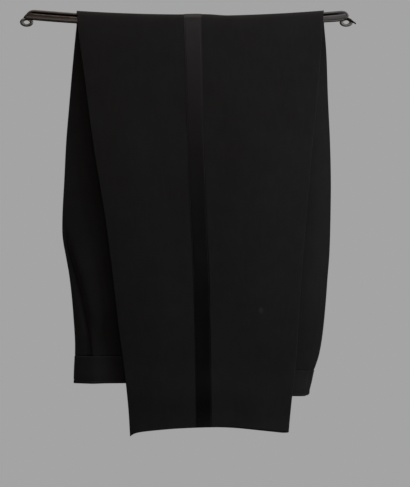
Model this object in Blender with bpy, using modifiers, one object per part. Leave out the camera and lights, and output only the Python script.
"""Tuxedo trousers folded over the trouser bar of a hanger.

Metres, +Z up, +X to the viewer's right, the viewer at -Y. The origin lies on the bar's axis at mid-span.
The lower legs hang in front of the bar and the thighs, hips and waistband hang behind it, upside down.
Each leg is a flat tube of cloth, folded sharply along its front crease (left) and back crease (right).
Counted outwards from the bar, the layers are: right leg's outer side, right leg's inner side,
left leg's inner side, left leg's outer side.
"""

import math
from collections import namedtuple

import bmesh
import bpy
from mathutils import Matrix, Vector

MM = 0.001  # every size below is in millimetres

# Hanger bar
BAR_HALF_SPAN = 205.0  # from mid-span to the end of the strip
BAR_LIFT = 9.3  # the ends stand this far above mid-span
BAR_HALF_DEPTH = 4.0
BAR_BOTTOM = -6.3
BAR_SHOULDER = 1.3  # top of the strip's body, beside its neck
NECK_HALF_WIDTH = 1.0
NECK_TOP = 2.2
BAR_CORNER = 1.3
BAR_SEGMENTS = 20
END_SLANT = 1.0  # the strip's ends lean inwards by this share of the height
RAIL_RADIUS = 1.5
RAIL_HEIGHT = 4.0
RAIL_STRAIGHT = 198.0  # the rail turns down past here
RAIL_BEND = (2.4, -0.9)  # first step of the turn
RAIL_SLOPE = math.radians(45)
RAIL_TAILS = {"left": 10.0, "right": 6.2}
EYE_RADIUS = 5.15  # of the ring's centre line, sideways
EYE_SQUASH = 0.7  # its height over its width
EYE_WIRE = 1.35
EYE_X = 204.0
EYE_Z = -2.0
TIP_LENGTHS = {"left": 4.0, "right": 10.0}
TIP_POINT_RADIUS = 0.5

# Cloth
WALL = 1.0
SEAM_GAP = 0.3
FOLD_GAP = 0.4  # air inside a pressed crease
STRIPE_WIDTH = 22.0
BAND_WALL = 1.2
HOOK_WALL = 1.0
HOOK_WIDTH = 9.0
HOOK_INSET = 3.0
HOOK_SHARES = (0.1, 0.7)  # its ends, from the second to the third section of the waistband
TURN_HEIGHT = 1.5  # centre of the turn over the bar
TURN_STEPS = 8
FOLD_STEPS = 4
LAYER_STEP = WALL + FOLD_GAP  # between the middles of a leg's two layers
LEG_STEP = WALL + SEAM_GAP  # between the middles of the two legs' inner sides
FIRST_LAYER = SEAM_GAP + WALL + SEAM_GAP + WALL / 2  # the right stripe lies between the bar and this layer

# Shape of the legs and hips
CROTCH_RUN = 278.0
FRONT_RISE = 65.0  # height of the fork's curve at the front
BACK_RISE = 110.0
FRONT_RETURN = 14.0  # cloth turned in past the fold at centre front
BACK_RETURN = 75.0  # seat cloth turned in past the fold at centre back
WAIST_RUN = 457.0
WAIST_TILT = 18.0  # the back of the waist hangs this much lower than the front
TILT_START = 340.0
TILT_LEVEL = 62.0  # the front of the waist stays level this far in from centre front
PLEAT_STEP = 1.2
PLEAT_FADE = 120.0
FLY_PARTING = 1.6  # room for the fly between the two fronts
SEAT_PARTING = 0.5
FLY_START = 314.0
FLY_WIDTH = 34.0
WAVE_HEIGHT = 0.9
WAVE_LENGTH = 210.0
WAVE_START = 150.0
BAR_CURVE_END = 120.0  # the bar's curve has died out this far below it

Section = namedtuple("Section", "run front_edge back_edge outseam inseam pleat fullness spread belly")
# run: distance below the bar along the cloth, minus in front of the bar and plus behind it
# front_edge, back_edge: the creases. outseam, inseam: the seams. pleat: from the edge in to the pleat's fold
# fullness: air inside each leg at mid-width. spread: extra air at the back fold. belly: bow towards the viewer
SECTIONS = [
    Section(-554, -85.0, 139.5, 20.0, 22.0, 6.0, 1.6, 0.0, 0.0),
    Section(-515, -87.0, 142.4, 19.8, 20.5, 6.0, 1.9, 0.0, 0.0),
    Section(-460, -92.0, 147.4, 19.2, 18.0, 6.0, 2.0, 0.0, 0.0),
    Section(-400, -98.0, 150.4, 18.2, 16.0, 6.0, 2.0, 0.0, 0.0),
    Section(-325, -104.8, 154.0, 16.5, 13.0, 6.0, 1.9, 0.0, 0.0),
    Section(-245, -113.2, 158.0, 13.0, 10.0, 6.0, 1.7, 0.0, 0.0),
    Section(-165, -123.7, 161.5, 10.5, 6.0, 6.0, 1.4, 0.0, 0.0),
    Section(-95, -130.4, 166.5, 8.0, 3.0, 6.0, 0.9, 0.0, 0.0),
    Section(-40, -136.0, 169.5, 7.0, 0.0, 6.0, 0.4, 0.0, 0.0),
    Section(-10, -139.5, 171.0, 6.0, -2.0, 6.0, 0.0, 0.0, 0.0),
    Section(10, -143.0, 174.0, 6.0, -3.0, 6.0, 0.0, 0.0, 0.0),
    Section(48, -148.6, 177.6, 5.0, -6.0, 6.0, 0.4, 0.0, 0.0),
    Section(100, -155.5, 181.7, 4.0, -11.0, 6.0, 0.9, 0.0, 0.0),
    Section(153, -161.5, 186.0, 4.0, -15.0, 6.0, 1.3, 0.0, 0.0),
    Section(207, -166.8, 188.7, 4.0, -18.0, 6.0, 1.6, 0.0, 0.0),
    Section(250, -170.3, 189.6, 4.0, -21.0, 6.0, 1.8, 0.0, 0.0),
    Section(CROTCH_RUN, -171.8, 190.0, 4.0, -22.0, 6.0, 2.0, 0.0, 0.1),
    Section(293, -171.0, 190.0, 4.3, -22.0, 6.5, 2.2, 0.3, 0.3),
    Section(314, -167.8, 189.7, 5.0, -22.0, 8.0, 2.7, 0.8, 0.6),
    Section(340, -164.4, 188.7, 6.0, -22.0, 11.5, 3.4, 1.6, 0.9),
    Section(374, -162.2, 187.3, 7.0, -22.0, 16.5, 4.5, 2.8, 1.3),
    Section(410, -161.0, 184.6, 8.5, -22.0, 21.0, 5.7, 4.0, 1.6),
    Section(436, -160.8, 180.3, 9.5, -22.0, 24.0, 6.5, 4.7, 1.8),
    Section(WAIST_RUN, -161.8, 173.8, 10.0, -22.0, 26.0, 7.0, 5.0, 1.8),
]
BAND_SECTIONS = [
    Section(WAIST_RUN + SEAM_GAP, -162.0, 173.5, 10.0, -22.0, 26.0, 7.0, 5.0, 1.8),
    Section(WAIST_RUN + 18, -163.1, 171.3, 10.0, -22.0, 26.0, 7.3, 5.0, 1.8),
    Section(WAIST_RUN + 32, -163.8, 168.8, 10.0, -22.0, 26.0, 7.5, 5.0, 1.8),
    Section(WAIST_RUN + 38.5, -164.0, 163.8, 10.0, -22.0, 26.0, 7.5, 5.0, 1.8),
]

Hem = namedtuple("Hem", "peak_x peak_drop front_drop back_drop")
HEMS = {
    "left": Hem(47.0, 553.5, 567.3, 563.6),
    "right": Hem(36.0, 555.0, 564.5, 565.6),
}
RIGHT_LEG_LEAN = 1.4  # the right leg lies this much further right at its hem

Finish = namedtuple("Finish", "color roughness metallic")
FINISHES = {
    "wool": Finish((0.012, 0.011, 0.011), 0.85, 0.0),
    "satin": Finish((0.010, 0.009, 0.010), 0.35, 0.0),
    "bar_metal": Finish((0.32, 0.29, 0.26), 0.35, 1.0),
    "bar_tip": Finish((0.012, 0.012, 0.012), 0.6, 0.0),
    "hook_metal": Finish((0.45, 0.44, 0.42), 0.35, 1.0),
}


def clear_scene():
    for item in list(bpy.data.objects):
        bpy.data.objects.remove(item)


def material(name):
    made = bpy.data.materials.get(name)
    if made is None:
        finish = FINISHES[name]
        made = bpy.data.materials.new(name)
        made.use_nodes = True
        shader = made.node_tree.nodes["Principled BSDF"]
        shader.inputs["Base Color"].default_value = (*finish.color, 1.0)
        shader.inputs["Roughness"].default_value = finish.roughness
        shader.inputs["Metallic"].default_value = finish.metallic
        made.diffuse_color = (*finish.color, 1.0)
    return made


def add_object(name, data, collection, finish):
    made = bpy.data.objects.new(name, data)
    made.data.materials.append(material(finish))
    collection.objects.link(made)
    return made


def blend(start, end, share):
    return start + (end - start) * share


def smooth(share):
    share = min(max(share, 0.0), 1.0)
    return share * share * (3.0 - 2.0 * share)


def bar_lift(x):
    """Height of the bar's curve above mid-span."""
    return BAR_LIFT * (x / BAR_HALF_SPAN) ** 2


# Where the layers lie

Station = namedtuple("Station", "section turn")


def between(first, second, share):
    return Section(*[blend(a, b, share) for a, b in zip(first, second)])


def stations():
    """The cloth's sections from hem to waist, with the turn over the bar worked out between two of them."""
    front = [Station(s, 0.0) for s in SECTIONS if s.run < 0]
    back = [Station(s, math.pi) for s in SECTIONS if s.run > 0]
    over = []
    for step in range(TURN_STEPS + 1):
        share = step / TURN_STEPS
        section = between(front[-1].section, back[0].section, share)._replace(run=0.0)
        over.append(Station(section, math.pi * share))
    return front + over + back


def bulge(section, x):
    """1 at mid-width and 0 at both creases."""
    middle = (section.front_edge + section.back_edge) / 2
    half = (section.back_edge - section.front_edge) / 2
    return max(0.0, 1.0 - ((x - middle) / half) ** 2)


def across(section, x):
    return smooth((x - section.front_edge) / (section.back_edge - section.front_edge))


def pleat_ridge(section, x):
    """The outer side stands proud along the pleat's fold, drops beside it and fades towards the outseam."""
    grown = smooth((section.run - CROTCH_RUN) / (TILT_START - CROTCH_RUN))
    fold = section.front_edge + section.pleat
    step = smooth((x - fold + 3.0) / 3.0)
    fade = 1.0 - smooth((x - fold) / PLEAT_FADE)
    return PLEAT_STEP * grown * step * fade


def wave(section, x):
    """A slow waviness that every layer shares."""
    grown = smooth((abs(section.run) - BAR_HALF_DEPTH) / WAVE_START)
    return WAVE_HEIGHT * grown * math.sin(math.tau * (x / WAVE_LENGTH + section.run / 900.0))


def parting(section, x):
    grown = smooth((section.run - FLY_START) / (TILT_START - FLY_START))
    return grown * blend(FLY_PARTING, SEAT_PARTING, across(section, x))


def depth(section, leg, side, x):
    """Distance from the bar's face out to the middle of a layer."""
    full = bulge(section, x)
    air = section.fullness * full + section.spread * across(section, x)
    right_inner = FIRST_LAYER + LAYER_STEP + air
    left_inner = right_inner + LEG_STEP + parting(section, x)
    if leg == "right" and side == "outer":
        found = FIRST_LAYER - section.belly * full - pleat_ridge(section, x)
    elif leg == "right":
        found = right_inner
    elif side == "inner":
        found = left_inner
    else:
        found = left_inner + LAYER_STEP + air + pleat_ridge(section, x)
    return found + wave(section, x)


def hem_drop(leg, x):
    """The hem is an arch: its corners at the creases hang lower than its middle."""
    hem = HEMS[leg]
    first = SECTIONS[0]
    if x < hem.peak_x:
        share = (x - hem.peak_x) / (first.front_edge - hem.peak_x)
        return blend(hem.peak_drop, hem.front_drop, share**2)
    share = (x - hem.peak_x) / (first.back_edge - hem.peak_x)
    return blend(hem.peak_drop, hem.back_drop, smooth(share))


def point(station, leg, x, reach):
    """The place in metres of a point at x, that far out from the bar's face."""
    section = station.section
    drop = abs(section.run)
    if section is SECTIONS[0]:
        drop = hem_drop(leg, x)
    elif section.run > TILT_START:
        start = section.front_edge + TILT_LEVEL
        grown = smooth((section.run - TILT_START) / (WAIST_RUN - TILT_START))
        drop += WAIST_TILT * grown * smooth((x - start) / (section.back_edge - start))
    follow = 1.0 - smooth((drop - 10.0) / BAR_CURVE_END)
    lean = RIGHT_LEG_LEAN * max(0.0, section.run / SECTIONS[0].run) if leg == "right" else 0.0
    radius = BAR_HALF_DEPTH + reach
    over = TURN_HEIGHT if section.run == 0.0 else 0.0
    y = -math.cos(station.turn) * radius
    z = over + math.sin(station.turn) * radius + bar_lift(x) * follow - drop
    return Vector((x + lean, y, z)) * MM


def fold_columns(section, leg, edge, direction):
    """Half circle round a crease, from the outer side to the inner side, without its two ends."""
    outer = depth(section, leg, "outer", edge)
    inner = depth(section, leg, "inner", edge)
    radius = abs(inner - outer) / 2
    centre = edge + direction * (WALL / 2 + radius)
    found = []
    for step in range(FOLD_STEPS + 1):
        angle = math.pi * step / FOLD_STEPS
        share = (1.0 - math.cos(angle)) / 2
        found.append((centre - direction * radius * math.sin(angle), blend(outer, inner, share)))
    return found


def layer_columns(section, leg, side, places):
    return [(x, depth(section, leg, side, x)) for x in places]


def spaced(start, end, count):
    return [blend(start, end, step / count) for step in range(count + 1)]


def rise_curve(share):
    """Quarter ellipse of the fork: level at the crotch, upright at its top."""
    share = min(max(share, 0.0), 1.0)
    return math.sqrt(1.0 - (1.0 - share) ** 2)


def inner_edge(section, half):
    """Where the inner side of a panel ends: the inseam, then the fork's curve, then centre front or back."""
    above = section.run - CROTCH_RUN
    if half == "front":
        end = section.front_edge + FRONT_RETURN
        return blend(section.inseam - SEAM_GAP / 2, end, rise_curve(above / FRONT_RISE))
    end = section.back_edge - BACK_RETURN
    return blend(section.inseam + SEAM_GAP / 2, end, rise_curve(above / BACK_RISE))


def panel_columns(section, leg, half):
    """The section of one panel from the outseam round the crease to its inner edge."""
    if half == "front":
        direction = 1.0
        edge = section.front_edge
        fold = fold_columns(section, leg, edge, direction)
        pleat = edge + section.pleat
        outer = spaced(section.outseam - SEAM_GAP / 2, pleat, 4) + [pleat - 3.0]
    else:
        direction = -1.0
        edge = section.back_edge
        fold = fold_columns(section, leg, edge, direction)
        start = fold[0][0]
        outer = spaced(section.outseam + SEAM_GAP / 2, start, 5)[:-1]
    inner = spaced(fold[-1][0], inner_edge(section, half), 4)[1:]
    return layer_columns(section, leg, "outer", outer) + fold + layer_columns(section, leg, "inner", inner)


# Pieces of cloth


def cloth(name, rows, wall, collection, finish):
    """A sheet through rows of points, with its wall's thickness to both sides."""
    count = len(rows[0])
    data = bpy.data.meshes.new(name)
    sheet = bmesh.new()
    bmesh.ops.create_grid(sheet, x_segments=count - 1, y_segments=len(rows) - 1, size=1.0)
    sheet.verts.ensure_lookup_table()
    for number, vertex in enumerate(sheet.verts):
        vertex.co = rows[number // count][number % count]
    sheet.to_mesh(data)
    sheet.free()
    made = add_object(name, data, collection, finish)
    solid = made.modifiers.new("wall", "SOLIDIFY")
    solid.thickness = wall * MM
    solid.offset = 0.0
    solid.use_even_offset = True
    solid.use_quality_normals = True
    data.shade_smooth()
    data.set_sharp_from_angle(angle=math.radians(50))
    return made


def leg_panel(leg, half, collection):
    rows = []
    for station in stations():
        columns = panel_columns(station.section, leg, half)
        rows.append([point(station, leg, x, reach) for x, reach in columns])
    return cloth(f"{leg}_{half}_panel", rows, WALL, collection, "wool")


def side_stripe(leg, collection):
    """Satin braid over the outseam, made from the panels' points moved out."""
    away = (WALL + SEAM_GAP) * (1.0 if leg == "left" else -1.0)
    rows = []
    for station in stations():
        seam = station.section.outseam
        places = spaced(seam - STRIPE_WIDTH / 2, seam + STRIPE_WIDTH / 2, 3)
        reaches = [depth(station.section, leg, "outer", x) + away for x in places]
        rows.append([point(station, leg, x, reach) for x, reach in zip(places, reaches)])
    return cloth(f"{leg}_side_stripe", rows, WALL, collection, "satin")


def waistband(leg, collection):
    """From centre front round the front fold, across the hip and round the back fold to centre back."""
    rows = []
    for section in BAND_SECTIONS:
        front = fold_columns(section, leg, section.front_edge, 1.0)
        back = fold_columns(section, leg, section.back_edge, -1.0)
        pleat = section.front_edge + section.pleat
        flap = spaced(inner_edge(section, "front"), front[-1][0], 2)[:-1]
        outer = [pleat - 3.0] + spaced(pleat, back[0][0], 7)[:-1]
        seat = spaced(back[-1][0], inner_edge(section, "back"), 4)[1:]
        columns = layer_columns(section, leg, "inner", flap) + front[::-1]
        columns += layer_columns(section, leg, "outer", outer) + back
        columns += layer_columns(section, leg, "inner", seat)
        station = Station(section, math.pi)
        rows.append([point(station, leg, x, reach) for x, reach in columns])
    return cloth(f"{leg}_waistband", rows, BAND_WALL, collection, "wool")


def between_fronts(section, x):
    return (depth(section, "right", "inner", x) + depth(section, "left", "inner", x)) / 2


def fly_shield(collection):
    """The strip behind the fly's opening, between the two fronts."""
    rows = []
    for section in [s for s in SECTIONS if s.run >= TILT_START]:
        start = section.front_edge + WALL
        places = spaced(start, start + FLY_WIDTH, 3)
        station = Station(section, math.pi)
        rows.append([point(station, "right", x, between_fronts(section, x)) for x in places])
    return cloth("fly_shield", rows, WALL, collection, "wool")


def waist_hook(collection):
    """Flat metal hook that closes the waistband at centre front, between its two ends."""
    rows = []
    for share in HOOK_SHARES:
        section = between(BAND_SECTIONS[1], BAND_SECTIONS[2], share)
        start = section.front_edge + HOOK_INSET
        places = spaced(start, start + HOOK_WIDTH, 2)
        station = Station(section, math.pi)
        rows.append([point(station, "right", x, between_fronts(section, x)) for x in places])
    return cloth("waist_hook", rows, HOOK_WALL, collection, "hook_metal")


# Hanger bar


def bar_strip(collection):
    """Flat bar with a narrow neck along its top, curved upwards to its ends."""
    side = [
        (NECK_HALF_WIDTH, NECK_TOP),
        (NECK_HALF_WIDTH, BAR_SHOULDER),
        (BAR_HALF_DEPTH - BAR_CORNER, BAR_SHOULDER),
        (BAR_HALF_DEPTH, BAR_SHOULDER - BAR_CORNER),
        (BAR_HALF_DEPTH, BAR_BOTTOM + BAR_CORNER),
        (BAR_HALF_DEPTH - BAR_CORNER, BAR_BOTTOM),
    ]
    outline = side + [(-y, z) for y, z in reversed(side)]
    data = bpy.data.meshes.new("bar_strip")
    strip = bmesh.new()
    corners = [strip.verts.new((-BAR_HALF_SPAN * MM, y * MM, z * MM)) for y, z in outline]
    grown = bmesh.ops.extrude_face_region(strip, geom=[strip.faces.new(corners)], use_keep_orig=True)
    moved = [item for item in grown["geom"] if isinstance(item, bmesh.types.BMVert)]
    bmesh.ops.translate(strip, vec=Vector((2 * BAR_HALF_SPAN * MM, 0, 0)), verts=moved)
    for x in spaced(-BAR_HALF_SPAN, BAR_HALF_SPAN, BAR_SEGMENTS)[1:-1]:
        whole = strip.verts[:] + strip.edges[:] + strip.faces[:]
        bmesh.ops.bisect_plane(strip, geom=whole, plane_co=(x * MM, 0, 0), plane_no=(1, 0, 0))
    for vertex in strip.verts:
        x = vertex.co.x / MM
        if abs(abs(x) - BAR_HALF_SPAN) < 0.01:
            lean = END_SLANT * (vertex.co.z / MM - BAR_BOTTOM)
            vertex.co.x -= math.copysign(lean * MM, x)
        vertex.co.z += bar_lift(vertex.co.x / MM) * MM
    bmesh.ops.recalc_face_normals(strip, faces=strip.faces)
    strip.to_mesh(data)
    strip.free()
    return add_object("bar_strip", data, collection, "bar_metal")


def rail_tail(side):
    """The rail's line from its turn down to its end, at the right side of the bar."""
    x = RAIL_STRAIGHT + RAIL_BEND[0]
    z = RAIL_HEIGHT + bar_lift(RAIL_STRAIGHT) + RAIL_BEND[1]
    length = RAIL_TAILS[side]
    return [(x, z), (x + length * math.cos(RAIL_SLOPE), z - length * math.sin(RAIL_SLOPE))]


def rail_line():
    """The rail's centre line: along the bar's top, then down past each end."""
    along = [(x, RAIL_HEIGHT + bar_lift(x)) for x in spaced(-RAIL_STRAIGHT, RAIL_STRAIGHT, BAR_SEGMENTS)]
    left = [(-x, z) for x, z in reversed(rail_tail("left"))]
    return left + along + rail_tail("right")


def bar_rail(collection):
    line = rail_line()
    data = bpy.data.curves.new("bar_rail", "CURVE")
    data.dimensions = "3D"
    data.bevel_depth = RAIL_RADIUS * MM
    data.bevel_resolution = 2
    data.use_fill_caps = True
    spline = data.splines.new("POLY")
    spline.points.add(len(line) - 1)
    for place, (x, z) in zip(spline.points, line):
        place.co = (x * MM, 0.0, z * MM, 1.0)
    return add_object("bar_rail", data, collection, "bar_metal")


def bar_eye(side, collection):
    """Ring under the bar's end."""
    sign = -1.0 if side == "left" else 1.0
    bpy.ops.mesh.primitive_torus_add(
        major_segments=20,
        minor_segments=8,
        major_radius=EYE_RADIUS * MM,
        minor_radius=EYE_WIRE * MM,
    )
    made = bpy.context.object
    made.name = f"bar_eye_{side}"
    upright = Matrix.Rotation(math.radians(90), 4, "X")
    squash = Matrix.Diagonal((1.0, 1.0, EYE_SQUASH, 1.0))
    made.data.transform(squash @ upright)
    made.location = Vector((sign * EYE_X, 0.0, EYE_Z)) * MM
    made.data.materials.append(material("bar_metal"))
    made.data.shade_smooth()
    for owner in list(made.users_collection):
        owner.objects.unlink(made)
    collection.objects.link(made)
    return made


def bar_tip(side, collection):
    """Dark tapered tip on the rail's end."""
    sign = -1.0 if side == "left" else 1.0
    length = TIP_LENGTHS[side]
    x, z = rail_tail(side)[-1]
    data = bpy.data.meshes.new(f"bar_tip_{side}")
    tip = bmesh.new()
    bmesh.ops.create_cone(
        tip,
        cap_ends=True,
        segments=12,
        radius1=RAIL_RADIUS * MM,
        radius2=TIP_POINT_RADIUS * MM,
        depth=length * MM,
    )
    along = Vector((sign * math.cos(RAIL_SLOPE), 0.0, -math.sin(RAIL_SLOPE)))
    tip.transform(along.to_track_quat("Z", "Y").to_matrix().to_4x4())
    tip.to_mesh(data)
    tip.free()
    made = add_object(f"bar_tip_{side}", data, collection, "bar_tip")
    made.location = Vector((sign * x, 0.0, z)) * MM + along * (SEAM_GAP + length / 2) * MM
    return made


def build():
    clear_scene()
    trousers = bpy.data.collections.new("tuxedo_trousers")
    bpy.context.scene.collection.children.link(trousers)
    for leg in ("left", "right"):
        leg_panel(leg, "front", trousers)
        leg_panel(leg, "back", trousers)
        side_stripe(leg, trousers)
        waistband(leg, trousers)
    fly_shield(trousers)
    waist_hook(trousers)
    bar_strip(trousers)
    bar_rail(trousers)
    for side in ("left", "right"):
        bar_eye(side, trousers)
        bar_tip(side, trousers)


build()
